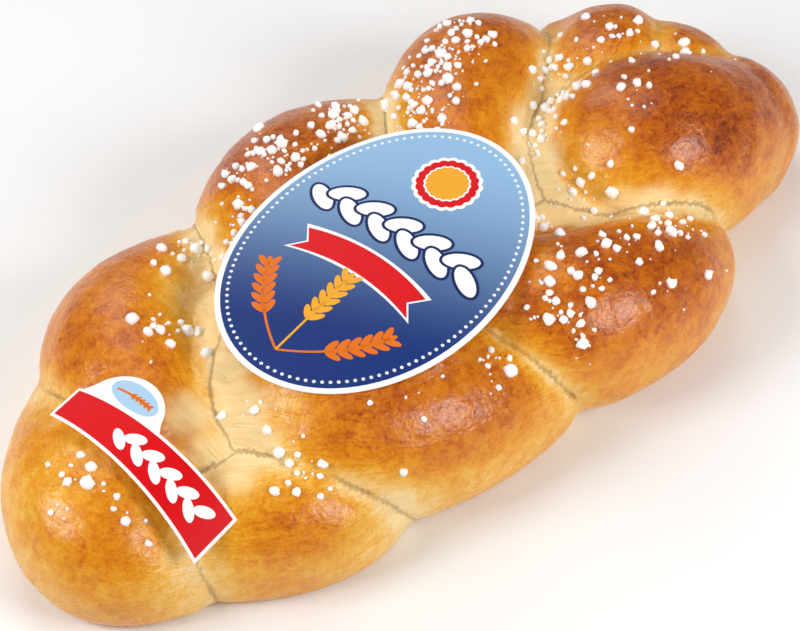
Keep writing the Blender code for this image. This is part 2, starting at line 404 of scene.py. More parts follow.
@dataclass(frozen=True)
class SugarFinish:
    """Opaque white pearl sugar, a little glassy, with a painted glow that brightens its shaded sides."""

    colour: Colour = srgb(253, 251, 248)
    shade: Colour = srgb(250, 246, 241)

    def material(self) -> bpy.types.Material:
        """Return the sugar material."""
        material, graph, shader = new_material("pearl_sugar")
        place = graph.place()
        cloud = graph.math("ADD", graph.uneven(place, 700.0, 2.0, 1.6), 0.4, clamp=True)
        graph.wire(shader, {
            "Base Color": graph.mix(cloud, self.colour, self.shade),
            "Roughness": 0.42,
            # Painted light: a faint white glow that lifts the grains' shaded sides.
            "Emission Color": opaque(self.colour),
            "Emission Strength": 0.13,
            "Subsurface Weight": 0.7,
            "Subsurface Radius": (2.5 * MM, 2.3 * MM, 2.1 * MM),
            "Subsurface Scale": 1.0,
            "Normal": graph.bump(graph.noise(place, 2600.0), 0.4, 0.4 * MM),
        })
        return material


@dataclass(frozen=True)
class InkFinish:
    """One printed colour on glossy label paper, or a fade across the label between two."""

    name: str
    colour: Colour
    far_colour: Colour | None = None
    fade: Point = (0.0, 1.0)
    fade_slant: float = 0.45

    def material(self) -> bpy.types.Material:
        """Return the ink's material."""
        material, graph, shader = new_material(self.name)
        flat = graph.out("ShaderNodeUVMap", uv_map="flat")
        colour = opaque(self.colour)
        if self.far_colour is not None:
            along, across = graph.outs("ShaderNodeSeparateXYZ", {0: flat})[:2]
            share = graph.ease(along + across * self.fade_slant, *self.fade)
            colour = graph.mix(share, self.colour, self.far_colour)
        graph.wire(shader, {
            "Base Color": colour,
            "Roughness": graph.uneven(flat, 900.0, 2.0, 0.12) + 0.42,
            "Specular IOR Level": 0.2,
            "Normal": graph.bump(graph.noise(flat, 1500.0), 0.12, 0.2 * MM),
        })
        return material


WHITE = InkFinish("label_white", srgb(247, 247, 246))
BEAD_WHITE = InkFinish("label_bead", srgb(238, 243, 250))
NAVY = InkFinish("label_navy", srgb(10, 34, 92))
RED = InkFinish("label_red", srgb(216, 2, 14))
ORANGE = InkFinish("label_orange", srgb(226, 112, 12))
AMBER = InkFinish("label_amber", srgb(240, 168, 40))
SKY = InkFinish("label_sky", srgb(168, 204, 232))
BLUE = InkFinish("label_blue", srgb(12, 46, 116), srgb(148, 188, 224), (-52 * MM, 78 * MM))


class NodeRule:
    """A Geometry Nodes tree with named inputs, run once on a mesh."""

    def __init__(self, name: str, inputs: dict[str, int | float]) -> None:
        """Make the tree and its sockets.

        Args:
            name: The tree's name.
            inputs: The value of each named input.
        """
        self.tree = bpy.data.node_groups.new(name, "GeometryNodeTree")
        interface = self.tree.interface
        for way in ("INPUT", "OUTPUT"):
            interface.new_socket("Geometry", in_out=way, socket_type="NodeSocketGeometry")
        self.values: dict[str, object] = {}
        for socket, value in inputs.items():
            kind = "NodeSocketInt" if isinstance(value, int) else "NodeSocketFloat"
            made = interface.new_socket(socket, in_out="INPUT", socket_type=kind)
            self.values[made.identifier] = value
        self.graph = Graph(self.tree)
        self.inlet = self.graph.add("NodeGroupInput")

    def value(self, name: str) -> Flow:
        """Return what a named input brings in."""
        return Flow(self.graph, self.inlet.outputs[name])

    def finish(self, geometry: Flow, material: bpy.types.Material, smooth: bool = True) -> None:
        """End the tree: realize the instances, set shading and material.

        Args:
            geometry: What the rule has made.
            material: Its material.
            smooth: Whether its faces are shaded smooth.
        """
        real = self.graph.out("GeometryNodeRealizeInstances", {0: geometry})
        shade = self.graph.out("GeometryNodeSetShadeSmooth", {0: real, "Shade Smooth": smooth})
        paint = self.graph.out("GeometryNodeSetMaterial", {0: shade, "Material": material})
        self.graph.add("NodeGroupOutput", {0: paint})

    def run(self, name: str, mesh: Mesh | None = None) -> Thing:
        """Run the tree.

        Args:
            name: The name of the object that it makes.
            mesh: What comes in, if the rule needs it.

        Returns:
            A plain object without the modifier.
        """
        thing = linked(name, bpy.data.meshes.new(name) if mesh is None else mesh)
        modifier = thing.modifiers.new("rule", "NODES")
        modifier.node_group = self.tree
        for identifier, value in self.values.items():
            modifier[identifier] = value
        apply_modifiers(thing)
        return thing


def linked(name: str, data: bpy.types.ID) -> Thing:
    """Return a new object in the scene."""
    thing = bpy.data.objects.new(name, data)
    bpy.context.scene.collection.objects.link(thing)
    return thing


def apply_modifiers(thing: Thing) -> None:
    """Turn an object's evaluated result into its own plain mesh."""
    graph = bpy.context.evaluated_depsgraph_get()
    mesh = bpy.data.meshes.new_from_object(thing.evaluated_get(graph))
    thing.modifiers.clear()
    thing.data = mesh


def mesh_object(name: str, form: Form) -> Thing:
    """Turn a bmesh into a scene object and free it."""
    mesh = bpy.data.meshes.new(name)
    form.to_mesh(mesh)
    form.free()
    return linked(name, mesh)


def flat_face(name: str, outline: Iterable[Point]) -> Thing:
    """Return an object with one flat face."""
    form = bmesh.new()
    form.faces.new([form.verts.new((u, v, 0.0)) for u, v in outline])
    return mesh_object(name, form)


def rows_of(items: bpy.types.bpy_prop_collection, name: str) -> np.ndarray:
    """Return a vector that each item holds, as rows of x, y and z."""
    values = np.empty(len(items) * 3, dtype=np.float32)
    items.foreach_get(name, values)
    return values.reshape(-1, 3).astype(float)


def store(mesh: Mesh, name: str, values: np.ndarray) -> None:
    """Keep a number or a vector for each vertex as a named attribute."""
    kind, part = ("FLOAT", "value") if values.ndim == 1 else ("FLOAT_VECTOR", "vector")
    mesh.attributes.new(name, kind, "POINT").data.foreach_set(part, values.astype(np.float32).ravel())


def tree_of(things: list[Thing]) -> BVHTree:
    """Return one search tree over several objects' faces."""
    points, faces = [], []
    for thing in things:
        first = len(points)
        points += [vert.co.copy() for vert in thing.data.vertices]
        faces += [[first + index for index in face.vertices] for face in thing.data.polygons]
    return BVHTree.FromPolygons(points, faces)


def field_noise(spots: np.ndarray, scale: float, seed: int) -> np.ndarray:
    """Return a smooth random value from about -1 to 1 at each point."""
    shift = Vector((seed * 3.7, seed * 1.3, seed * 5.1))
    return np.array([noise.noise(Vector(spot) * scale + shift) for spot in spots])


def bell(spots: np.ndarray, x: float, y: float, spread: float) -> np.ndarray:
    """Return a bell curve about a place on the tray, which is in millimetres."""
    flat = (spots[:, :2] - np.array(TRAY_SHIFT.xy)) / MM
    return np.exp(-0.5 * (np.hypot(flat[:, 0] - x, flat[:, 1] - y) / spread) ** 2)


def neighbour_mean(mesh: Mesh) -> Callable[[np.ndarray], np.ndarray]:
    """Return a function that averages a value over each vertex's neighbours."""
    ends = np.empty(len(mesh.edges) * 2, dtype=np.int32)
    mesh.edges.foreach_get("vertices", ends)
    first, second = ends.reshape(-1, 2).T
    count = len(mesh.vertices)
    degree = np.bincount(first, minlength=count) + np.bincount(second, minlength=count)

    def average(values: np.ndarray) -> np.ndarray:
        """Return the mean of each vertex's neighbours."""
        total = np.bincount(first, weights=values[second], minlength=count)
        total += np.bincount(second, weights=values[first], minlength=count)
        return total / np.maximum(degree, 1)

    return average


def relax(mesh: Mesh, spots: np.ndarray, weight: np.ndarray, steps: int) -> np.ndarray:
    """Draw each vertex towards its neighbours' middle.

    Args:
        mesh: The mesh, for its edges.
        spots: The vertices.
        weight: How far each one goes in a step, from 0 to 1.
        steps: Number of steps.

    Returns:
        The vertices' new places.
    """
    average = neighbour_mean(mesh)
    for _ in range(steps):
        middle = np.stack([average(column) for column in spots.T], axis=1)
        spots = spots + (middle - spots) * weight[:, None]
    return spots


def blur(mesh: Mesh, values: np.ndarray, steps: int) -> np.ndarray:
    """Return a value blurred over the mesh, the more the more steps."""
    average = neighbour_mean(mesh)
    for _ in range(steps):
        values = 0.5 * values + 0.5 * average(values)
    return values


@dataclass(frozen=True)
class Lobe:
    """One visible stretch of a strand, in millimetres on the baking tray."""

    start: Point
    crest: Point
    end: Point
    radius: float
    rise: float
    bake: Bake

    # Shares of the height and the girth that are left at the start and the end.
    end_heights = (0.60, 0.60)
    end_girths = (0.80, 0.66)

    @staticmethod
    def swell(ends: Point, t: float) -> float:
        """Return a share that is 1 half way along and falls to its values at the ends."""
        edge = ends[0] if t < 0.5 else ends[1]
        return edge + (1.0 - edge) * math.sin(math.pi * t)

    def middle(self, t: float) -> Vector:
        """Return the middle line's point at t; the line passes through the crest."""
        start, crest, end = (Vector(point) * MM for point in (self.start, self.crest, self.end))
        pull = 2.0 * crest - (start + end) / 2.0
        plan = (1 - t) ** 2 * start + 2 * t * (1 - t) * pull + t * t * end
        return Vector((plan.x, plan.y, self.rise * MM * self.swell(self.end_heights, t)))

    def girth(self, t: float) -> float:
        """Return the sweep's radius at t."""
        return self.radius * MM * self.swell(self.end_girths, t)


# Each third lobe belongs to the same strand.
STRANDS = 3
LOBES = (
    Lobe((158, 47), (170, 8), (152, -18), 31, 29, Bake.DARK),
    Lobe((150, 54), (148, 31), (100, 24), 36, 30, Bake.DARK),
    Lobe((175, -18), (127, -16), (107, 6), 45, 36, Bake.DEEP),
    Lobe((120, 56), (80, 56), (6, -26), 38, 34, Bake.BROWN),
    Lobe((99, -63), (34, -64), (-20, -6), 37, 35, Bake.DEEP),
    Lobe((38, 67), (-26, 54), (-61, -18), 38, 34, Bake.DARK),
    Lobe((4, -66), (-68, -55), (-114, -2), 38, 32, Bake.BROWN),
    Lobe((-63, 54), (-126, 30), (-122, -54), 36, 32, Bake.BROWN),
    Lobe((-80, -66), (-118, -59), (-176, -17), 31, 21, Bake.GOLDEN),
    Lobe((-141, 34), (-176, -16), (-158, -47), 34, 25, Bake.LIGHT),
)


@dataclass
class Dough:
    """The baked plait without its sugar.

    A pale place has its x and y on the tray, its spread, its strength and how
    far from a crease it reaches; a tone place has x, y, spread and the change
    of the bake.
    """

    lobes: tuple[Lobe, ...] = LOBES
    heart_line: tuple = ((-150, -4, 22), (-60, -4, 24), (50, -2, 23), (152, 14, 14))
    heart_girth: float = 34 * MM
    heart_breadth: float = 1.6
    sag_exponent: float = 0.8
    rings: int = 36
    sides: int = 48
    cap_angles: tuple = (15, 30, 45, 60, 75)
    voxel: float = 1.68 * MM
    fillet_steps: int = 8
    fillet_reach: float = 6.0 * MM
    base_round: float = 3.0 * MM
    swell_height: float = 1.2 * MM
    ripple_height: float = 0.40 * MM
    fold_height: float = 0.40 * MM
    fold_length: float = 1.15 * MM
    wrinkle_height: float = 0.55 * MM
    wrinkle_length: float = 1.25 * MM
    cut_depth: float = 1.6 * MM
    cut_width: float = 2.6 * MM
    flank_fade: float = 0.27
    foot_fade: float = 0.08
    crease_fade: float = 0.34
    pale_fade: float = 0.28
    pale_widen: float = 2.1
    least_bake: float = 0.38
    under_bake: float = 0.66
    label_floor: float = 30.0 * MM
    label_air: float = 0.5 * MM
    label_rise: float = 3.5 * MM
    pale_places: tuple = (
        (66, -40, 10, 1.8, 16), (80, -48, 10, 1.8, 16), (95, -57, 9, 1.7, 13), (112, -66, 8, 1.4, 9),
        (-66, 58, 7, 1.4, 10), (-75, 40, 8, 1.7, 14), (-82, 22, 9, 1.8, 18), (-91, 4, 9, 1.8, 18),
        (-99, -15, 9, 1.8, 18), (-107, -31, 9, 1.8, 18), (-117, -46, 8, 1.7, 14),
        (-128, -20, 9, 0.8, 40), (-131, -37, 9, 0.8, 40), (-130, -53, 7, 0.9, 20),
        (34, 56, 8, 1.4, 9), (44, 68, 8, 1.5, 9), (74, -2, 11, 1.8, 20), (86, 14, 10, 1.7, 18),
        (-76, -94, 9, 1.0, 8), (-94, -82, 8, 0.5, 5), (-10, -60, 8, 0.9, 4), (8, -84, 9, 0.8, 4),
        (-160, -64, 9, 0.6, 6), (104, 30, 9, 1.2, 10), (116, 44, 9, 0.9, 7), (158, 12, 9, 0.6, 4),
        (-168, 34, 9, 0.5, 5),
    )
    tone_places: tuple = (
        (86, -24, 13, -0.22), (140, -22, 16, -0.02), (24, -62, 12, -0.18), (-52, 60, 10, -0.14),
        (-92, 30, 12, -0.26), (-184, -12, 14, -0.12), (-134, -86, 12, 0.14), (-196, -53, 13, 0.10),
        (186, 13, 13, 0.06), (141, 32, 9, 0.05), (-70, -66, 14, 0.05), (-8, 62, 12, 0.05),
    )

    def build(self, sheets: list[Thing]) -> Thing:
        """Make the dough's skin with the attributes that its crust reads.

        Args:
            sheets: The labels' papers, which the dough comes up to.

        Returns:
            The skin.
        """
        form = bmesh.new()
        for lobe in self.lobes:
            self.sweep(form, lobe.middle, lobe.girth, 1.0)
        self.sweep(form, self.heart_middle, lambda t: self.heart_girth, self.heart_breadth)
        thing = mesh_object("loaf_crust", form)
        remesh = thing.modifiers.new("skin", "REMESH")
        remesh.mode = "VOXEL"
        remesh.voxel_size = self.voxel
        apply_modifiers(thing)
        mesh = thing.data
        spots = rows_of(mesh.vertices, "co")
        spots = self.soften(mesh, spots, self.measure(spots)["gap"])
        self.write(mesh, spots)
        facts = self.measure(spots)
        spots = self.roughen(spots, rows_of(mesh.vertex_normals, "vector"), facts)
        spots = relax(mesh, spots, 0.9 * np.exp(-facts["gap"] / (4.0 * MM)), 6)
        spots[:, 2] = self.round_base(spots[:, 2])
        spots[:, :2] -= (spots[:, :2].max(0) + spots[:, :2].min(0)) / 2.0
        spots[:, 2] += self.snug(mesh, spots, tree_of(sheets))
        self.write(mesh, spots)
        self.dress(mesh, spots, rows_of(mesh.vertex_normals, "vector"))
        return thing

    def heart_middle(self, t: float) -> Vector:
        """Return the point at t on the dough under the crossings."""
        place = t * (len(self.heart_line) - 1)
        step = min(int(place), len(self.heart_line) - 2)
        return Vector(self.heart_line[step]).lerp(Vector(self.heart_line[step + 1]), place - step) * MM

    def sweep(
        self, form: Form, middle: Callable[[float], Vector], girth: Callable[[float], float], breadth: float
    ) -> None:
        """Add rounded dough along a middle line.

        Args:
            form: The mesh that it is added to.
            middle: The middle line's point for t from 0 to 1.
            girth: The radius for t.
            breadth: Width over height of the section.
        """
        small = 0.01
        sections = []
        for step in range(self.rings):
            t = step / (self.rings - 1)
            ahead = (middle(min(1.0, t + small)) - middle(max(0.0, t - small))).normalized()
            sections.append((middle(t), ahead, girth(t)))
        caps = [math.radians(angle) for angle in self.cap_angles]
        front = [self.cap(sections[0], turn, -1.0) for turn in reversed(caps)]
        back = [self.cap(sections[-1], turn, 1.0) for turn in caps]
        rings = []
        for centre, ahead, radius in front + sections + back:
            side = ahead.cross(UP).normalized()
            up = side.cross(ahead)
            rings.append([form.verts.new(p) for p in self.section(centre, side * breadth, up, radius)])
        for lower, upper in zip(rings, rings[1:]):
            for step in range(self.sides):
                after = (step + 1) % self.sides
                form.faces.new((lower[step], lower[after], upper[after], upper[step]))
        form.faces.new(rings[0][::-1])
        form.faces.new(rings[-1])

    def section(self, centre: Vector, side: Vector, up: Vector, radius: float) -> list[Vector]:
        """Return one section's points, a little squarer below than above.

        Args:
            centre: Its middle.
            side: Its direction across, as long as it is broad.
            up: Its direction upwards.
            radius: Its radius.

        Returns:
            The points all round.
        """
        points = []
        for step in range(self.sides):
            angle = 2.0 * math.pi * step / self.sides
            across, rise = math.cos(angle), math.sin(angle)
            if rise < 0.0:
                across = math.copysign(abs(across) ** self.sag_exponent, across)
                rise = -abs(rise) ** self.sag_exponent
            points.append(centre + radius * (across * side + rise * up))
        return points

    @staticmethod
    def cap(section: Section, turn: float, sign: float) -> Section:
        """Return a section of the round cap that closes a strand's end."""
        centre, ahead, radius = section
        return centre + sign * radius * math.sin(turn) * ahead, ahead, radius * math.cos(turn)

    def measure(self, spots: np.ndarray) -> dict[str, np.ndarray]:
        """Relate each point to the lobes.

        Args:
            spots: Points on the skin, as they lie on the tray.

        Returns:
            For each point: gap, the distance to the nearest other lobe;
            reach, how far it stands off its own lobe;
            strands, its distances from the three strands;
            t, its place along its own lobe; around, its angle about the
            middle line; bake, the darkness of its lobe; owner, its index.
        """
        rows = np.arange(len(spots))
        ts = np.linspace(0.0, 1.0, 60)
        reach, along, around = (np.empty((len(self.lobes), len(spots))) for _ in range(3))
        for index, lobe in enumerate(self.lobes):
            line = np.array([lobe.middle(float(t)) for t in ts])
            girths = np.array([lobe.girth(float(t)) for t in ts])
            far = np.linalg.norm(spots[:, None, :] - line[None, :, :], axis=2) - girths[None, :]
            near = far.argmin(axis=1)
            reach[index] = far[rows, near]
            along[index] = ts[near]
            tangent = np.gradient(line, axis=0)
            tangent /= np.linalg.norm(tangent, axis=1)[:, None]
            side = np.cross(tangent, UP)
            side /= np.linalg.norm(side, axis=1)[:, None]
            offset = spots - line[near]
            around[index] = np.arctan2((offset * side[near]).sum(axis=1), offset[:, 2])
        strands = [reach[first::STRANDS].min(axis=0) for first in range(STRANDS)]
        owner, other = reach.argsort(axis=0)[:2]
        return {
            "gap": np.maximum(reach[other, rows], 0.0),
            "reach": reach[owner, rows],
            "strands": np.stack(strands, axis=1),
            "t": along[owner, rows],
            "around": around[owner, rows],
            "bake": np.array([lobe.bake.value for lobe in self.lobes])[owner],
            "owner": owner,
        }

    def paleness(self, spots: np.ndarray, gap: np.ndarray, widen: float) -> np.ndarray:
        """Return how pale the dough is along the creases that opened late in the oven.

        Args:
            spots: Points on the skin.
            gap: Their distance from the next lobe.
            widen: How many times wider than the pale dough itself.

        Returns:
            A share from 0 to 1.
        """
        pale = np.zeros(len(spots))
        for x, y, spread, strength, reach in self.pale_places:
            along = strength * bell(spots, x, y, spread * widen)
            pale = np.maximum(pale, along * np.exp(-((gap / (reach * widen * MM)) ** 2)))
        return np.minimum(pale, 1.0)

    def soften(self, mesh: Mesh, spots: np.ndarray, gap: np.ndarray) -> np.ndarray:
        """Fill the bottoms of the creases as risen dough does."""
        weight = 1.0 - smooth_step(2.0 * MM, self.fillet_reach, gap)
        return relax(mesh, spots, np.maximum(weight, 0.10) * 0.9, self.fillet_steps)

    def roughen(self, spots: np.ndarray, lines: np.ndarray, facts: dict[str, np.ndarray]) -> np.ndarray:
        """Push the skin in and out: swells, folds beside the creases, wrinkles and cuts.

        Args:
            spots: The skin's points.
            lines: Their normals.
            facts: What measure tells about them.

        Returns:
            The points' new places.
        """
        slow = field_noise(spots, 26.0, 3)
        break_up = field_noise(spots, 60.0, 13)
        gap, reach = facts["gap"], facts["reach"]
        push = self.swell_height * slow + self.ripple_height * field_noise(spots, 95.0, 7)
        folds = np.sin(gap / self.fold_length + 3.0 * break_up) * np.exp(-gap / (7.0 * MM))
        push += self.fold_height * folds * smooth_step(0.0, 0.35, break_up)
        wrinkles = np.sin(reach / self.wrinkle_length + 5.0 * field_noise(spots, 34.0, 17))
        wrinkles *= smooth_step(1.5 * MM, 5.0 * MM, reach) * smooth_step(-0.3, 0.3, slow)
        push += self.wrinkle_height * wrinkles
        cut = np.exp(-((gap / self.cut_width) ** 2)) * (0.75 + 0.9 * break_up)
        push -= self.cut_depth * np.clip(cut, 0.0, 1.2)
        push *= smooth_step(1.0 * MM, 8.0 * MM, spots[:, 2])
        return spots + lines * push[:, None]

    def round_base(self, height: np.ndarray) -> np.ndarray:
        """Press the underside flat on the tray, with a small round edge."""
        reach = self.base_round
        eased = (height + reach) ** 2 / (4.0 * reach)
        return np.where(height > reach, height, np.where(height < -reach, 0.0, eased))

    def snug(self, mesh: Mesh, spots: np.ndarray, sheets: BVHTree) -> np.ndarray:
        """Return how far the dough bulges up towards the labels.

        Args:
            mesh: The dough's mesh.
            spots: Its vertices.
            sheets: The labels' papers.

        Returns:
            A height for each vertex.
        """
        room = np.full(len(spots), np.inf)
        for index in np.flatnonzero(spots[:, 2] > self.label_floor):
            far = sheets.ray_cast(Vector(spots[index]), UP)[3]
            if far is not None:
                room[index] = far - self.label_air
        rise = np.where(np.isinf(room), 0.0, np.clip(room, 0.0, self.label_rise))
        return np.maximum(np.minimum(blur(mesh, rise, 10), room), 0.0)

    @staticmethod
    def write(mesh: Mesh, spots: np.ndarray) -> None:
        """Give a mesh its vertices' new places."""
        mesh.vertices.foreach_set("co", spots.astype(np.float32).ravel())
        mesh.update()

    def dress(self, mesh: Mesh, spots: np.ndarray, lines: np.ndarray) -> None:
        """Store what the crust's material reads.

        Args:
            mesh: The dough's mesh.
            spots: Its vertices.
            lines: Its vertex normals.
        """
        facts = self.measure(spots - np.array(TRAY_SHIFT))
        gap, t, owner, height = facts["gap"], facts["t"], facts["owner"], spots[:, 2]
        up = np.clip(lines[:, 2], -1.0, 1.0)
        under = smooth_step(0.6, 0.95, -up) * (1.0 - smooth_step(1.0 * MM, 5.0 * MM, height))
        bake = facts["bake"] + 0.10 * field_noise(spots, 22.0, 21)
        bake -= self.flank_fade * (1.0 - smooth_step(-0.15, 0.80, up))
        bake -= self.foot_fade * (1.0 - smooth_step(18 * MM, 62 * MM, height))
        bake -= self.crease_fade * np.exp(-gap / (5.0 * MM))
        bake = blur(mesh, np.maximum(bake, self.least_bake), 10)
        bake -= self.pale_fade * self.paleness(spots, gap, self.pale_widen)
        for x, y, spread, change in self.tone_places:
            bake += change * bell(spots, x, y, spread)
        pale = np.maximum(self.paleness(spots, gap, 1.0), smooth_step(2.0 * MM, 5.0 * MM, facts["reach"]))
        pale = np.maximum(pale, 0.75 * np.exp(-gap / (3.0 * MM)) * smooth_step(0.7, 1.0, t))
        # Where the crease line shows: a groove in the relief and painted shade in the colour.
        crack_and_shade = smooth_step(-0.15, 0.45, field_noise(spots, 60.0, 13))
        girth = np.array([lobe.radius for lobe in self.lobes])[owner] * MM
        strands = [blur(mesh, column, 3) / MM for column in facts["strands"].T]
        for name, values in (
            ("bake", bake * (1.0 - under) + self.under_bake * under),
            ("pale", blur(mesh, pale, 5) * (1.0 - under)),
            ("crack_and_shade", crack_and_shade * (1.0 - under)),
            ("strand", np.stack([t * 0.15 + owner, facts["around"] * girth, owner * 7.0], axis=1)),
            ("strands", np.stack(strands, axis=1)),
            ("crease", np.exp(-gap / (10.0 * MM)) * smooth_step(0.0, 0.5, up)),
        ):
            store(mesh, name, values)
        mesh.shade_smooth()


@dataclass(frozen=True)
class Label:
    """A paper sheet rolled about a line along X, with thin layers of ink on it.

    Turn and pitch are in degrees. Crown and ridge are the height and the Y of
    the roll's top line, and bend is the roll's radius.
    """

    name: str
    centre: Point
    turn: float
    crown: float
    ridge: float
    bend: float
    pitch: float
    outline: tuple[Point, ...]
    thickness: float = 0.4 * MM
    ink: float = 0.06 * MM
    strip: float = 3.0 * MM

    def place(self, u: float, v: float, lift: float) -> Vector:
        """Return the flat point (u, v) laid on the roll, raised by lift."""
        turn, pitch = math.radians(self.turn), math.radians(self.pitch)
        ahead = u * math.cos(turn) - v * math.sin(turn)
        lean = (self.centre[1] + u * math.sin(turn) + v * math.cos(turn) - self.ridge) / self.bend
        drop = self.bend * (1.0 - math.cos(lean))
        return Vector((
            self.centre[0] + ahead * math.cos(pitch),
            self.ridge + self.bend * math.sin(lean),
            self.crown + ahead * math.sin(pitch) - drop + lift,
        ))

    def roll(self, thing: Thing, lift: float, thickness: float) -> Thing:
        """Lay a flat object's faces on the roll and give them a thickness.

        Args:
            thing: An object whose mesh is flat, in the label's own plane.
            lift: Height of its lower side over the sheet's lower side.
            thickness: Its thickness.

        Returns:
            The same object.
        """
        form = bmesh.new()
        form.from_mesh(thing.data)
        angle = math.radians(self.turn)
        across = Vector((math.sin(angle), math.cos(angle), 0.0))
        reaches = [vert.co.dot(across) for vert in form.verts]
        low, high = min(reaches), max(reaches)
        strips = max(2, int((high - low) / self.strip))
        for step in range(1, strips):
            cut = across * (low + (high - low) * step / strips)
            parts = form.verts[:] + form.edges[:] + form.faces[:]
            bmesh.ops.bisect_plane(form, geom=parts, plane_co=cut, plane_no=across)
        bmesh.ops.triangulate(form, faces=form.faces)
        flat = form.loops.layers.uv.new("flat")
        for face in form.faces:
            for loop in face.loops:
                loop[flat].uv = loop.vert.co.xy
        grown = bmesh.ops.extrude_face_region(form, geom=form.faces[:], use_keep_orig=True)
        top = [item for item in grown["geom"] if isinstance(item, bmesh.types.BMVert)]
        bmesh.ops.translate(form, verts=top, vec=(0.0, 0.0, thickness))
        for vert in form.verts:
            vert.co = self.place(vert.co.x, vert.co.y, vert.co.z + lift)
        bmesh.ops.recalc_face_normals(form, faces=form.faces)
        form.to_mesh(thing.data)
        form.free()
        return thing

    def sheet(self, finish: InkFinish) -> Thing:
        """Make the paper itself in its ground colour."""
        thing = self.roll(flat_face(self.name + "_paper", self.outline), 0.0, self.thickness)
        thing.data.materials.append(finish.material())
        return thing

    def layer(self, thing: Thing, number: int) -> Thing:
        """Roll a flat print; 1 lies on the paper, 2 on that, and so on."""
        return self.roll(thing, self.thickness + (number - 1) * self.ink, self.ink)

    def patch(self, name: str, outline: Iterable[Point], finish: InkFinish, number: int) -> Thing:
        """Lay a printed field of colour on the paper.

        Args:
            name: The piece's name.
            outline: Its flat outline.
            finish: Its ink.
            number: Its layer.

        Returns:
            The piece.
        """
        thing = self.layer(flat_face(name, outline), number)
        thing.data.materials.append(finish.material())
        return thing


def oval(length: float, width: float, centre: Point = (0.0, 0.0), points: int = 96) -> tuple[Point, ...]:
    """Return an ellipse's outline from half its length and half its width."""
    turns = [2.0 * math.pi * step / points for step in range(points)]
    return tuple((centre[0] + length * math.cos(a), centre[1] + width * math.sin(a)) for a in turns)


def seal(centre: Point, radius: float, petals: int = 20, depth: float = 0.06) -> tuple[Point, ...]:
    """Return the outline of a round seal with a scalloped edge."""
    points = []
    for step in range(petals * 8):
        angle = 2.0 * math.pi * step / (petals * 8)
        reach = radius * (1.0 + depth * abs(math.sin(angle * petals / 2.0)))
        points.append((centre[0] + reach * math.cos(angle), centre[1] + reach * math.sin(angle)))
    return tuple(points)


def ribbon(centre: Point, length: float, width: float, bow: float, notch: float) -> tuple[Point, ...]:
    """Return the outline of a bowed ribbon across its label, notched at both ends.

    Args:
        centre: Its middle.
        length: Half its length.
        width: Half its width.
        bow: How far its middle is pushed out.
        notch: Depth of the notches.

    Returns:
        The outline's points.
    """
    steps = 24
    lower, upper = [], []
    for step in range(steps + 1):
        along = length * (2.0 * step / steps - 1.0)
        rise = bow * (1.0 - (along / length) ** 2)
        lower.append((along, rise - width))
        upper.append((along, rise + width))
    tip = length - notch
    flat = lower + [(tip, 0.0)] + upper[::-1] + [(-tip, 0.0)]
    return tuple((centre[0] + across, centre[1] - along) for along, across in flat)


@dataclass(frozen=True)
class Ornament:
    """Where a printed ornament stands on its label."""

    name: str
    place: Point
    turn: float
    layer: int

    def lay(self, label: Label, rule: NodeRule) -> Thing:
        """Run the ornament's rule, put the result in its place and roll it with its label."""
        thing = rule.run(self.name)
        turn = Matrix.Rotation(math.radians(self.turn), 4, "Z")
        thing.data.transform(Matrix.Translation((*self.place, 0.0)) @ turn)
        return label.layer(thing, self.layer)


@dataclass(frozen=True)
class PlaitPrint(Ornament):
    """A row of leaning ovals that overlap like a plait."""

    count: int
    pitch: float
    half_length: float
    half_width: float
    swing: float
    lean: float = 32.0
    step_up: float = 0.012 * MM
    sides: int = 24

    def build(self, label: Label, ink: InkFinish, swell: float, lift: float) -> Thing:
        """Print the ovals.

        Args:
            label: The label that carries them.
            ink: Their colour.
            swell: How much they are drawn out all round.
            lift: Height over the ornament's base.

        Returns:
            The piece.
        """
        rule = NodeRule(self.name, {
            "Count": self.count,
            "Pitch": self.pitch,
            "Half Length": self.half_length + swell,
            "Half Width": self.half_width + swell,
            "Swing": self.swing,
            "Lean": math.radians(self.lean),
            "Step Up": self.step_up,
            "Lift": lift,
        })
        graph, value = rule.graph, rule.value
        row = graph.out("GeometryNodeMeshLine", {"Count": value("Count"), "Offset": (0.0, 0.0, 0.0)})
        index = graph.out("GeometryNodeInputIndex")
        side = graph.math("MODULO", index, 2.0) * 2.0 - 1.0
        along = (index - (value("Count") - 1.0) * 0.5) * value("Pitch")
        spot = graph.xyz(along, side * value("Swing"), index * value("Step Up") + value("Lift"))
        ovals = graph.out("GeometryNodeInstanceOnPoints", {
            "Points": graph.out("GeometryNodeSetPosition", {"Geometry": row, "Position": spot}),
            "Instance": graph.disc(self.sides),
            "Rotation": graph.xyz(z=side * value("Lean")),
            "Scale": graph.xyz(value("Half Length"), value("Half Width"), 1.0),
        })
        rule.finish(ovals, ink.material(), smooth=False)
        return self.lay(label, rule)


